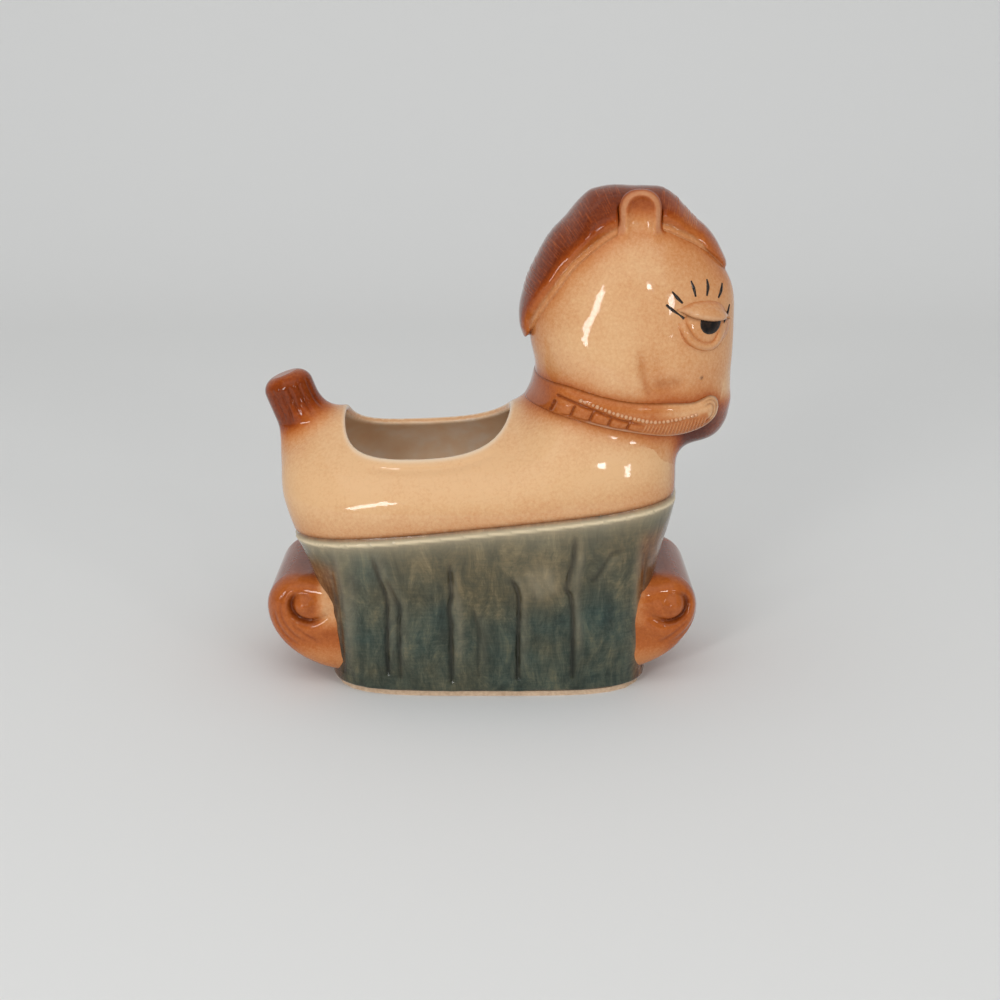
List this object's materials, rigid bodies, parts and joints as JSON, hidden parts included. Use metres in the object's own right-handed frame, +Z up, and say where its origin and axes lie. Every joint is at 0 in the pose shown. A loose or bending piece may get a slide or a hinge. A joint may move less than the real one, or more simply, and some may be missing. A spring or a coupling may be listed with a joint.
{
  "type": "planter pot",
  "caption": "Free-standing glazed pot shaped as a toy horse in a pleated skirt between end scrolls, hollow, with a plant opening cut along its back.",
  "frame": {"origin": "on the standing surface, under the middle of the whole piece", "axes": "+X towards the horse's face, +Y towards the horse's left side, +Z up"},
  "size_m": [0.1414, 0.0716, 0.1495],
  "materials": {
    "bare_clay": "dry, unglazed fired clay",
    "cream_glaze": "clear gloss over cream earthenware, airbrushed brown in places",
    "brown_glaze": "gloss orange-brown glaze, thinner on edges",
    "blue_green_glaze": "gloss mottled blue-green glaze with tan streaks",
    "black_glaze": "gloss black painted under the glaze"
  },
  "bodies": {
    "root": {"foot_ring": "bare_clay", "skirt_pot": "blue_green_glaze", "body_shell": "cream_glaze", "head_shell": "cream_glaze", "mane": "brown_glaze", "forelock": "brown_glaze", "rein": "brown_glaze", "tail": "brown_glaze", "rear_scroll": "brown_glaze", "front_scroll": "brown_glaze", "ear_left": "brown_glaze", "ear_right": "brown_glaze", "eye_left": "cream_glaze", "eye_right": "cream_glaze", "upper_lid_left": "cream_glaze", "upper_lid_right": "cream_glaze", "lower_lid_left": "cream_glaze", "lower_lid_right": "cream_glaze", "pupil_left": "black_glaze", "pupil_right": "black_glaze"}
  },
  "joints": []
}
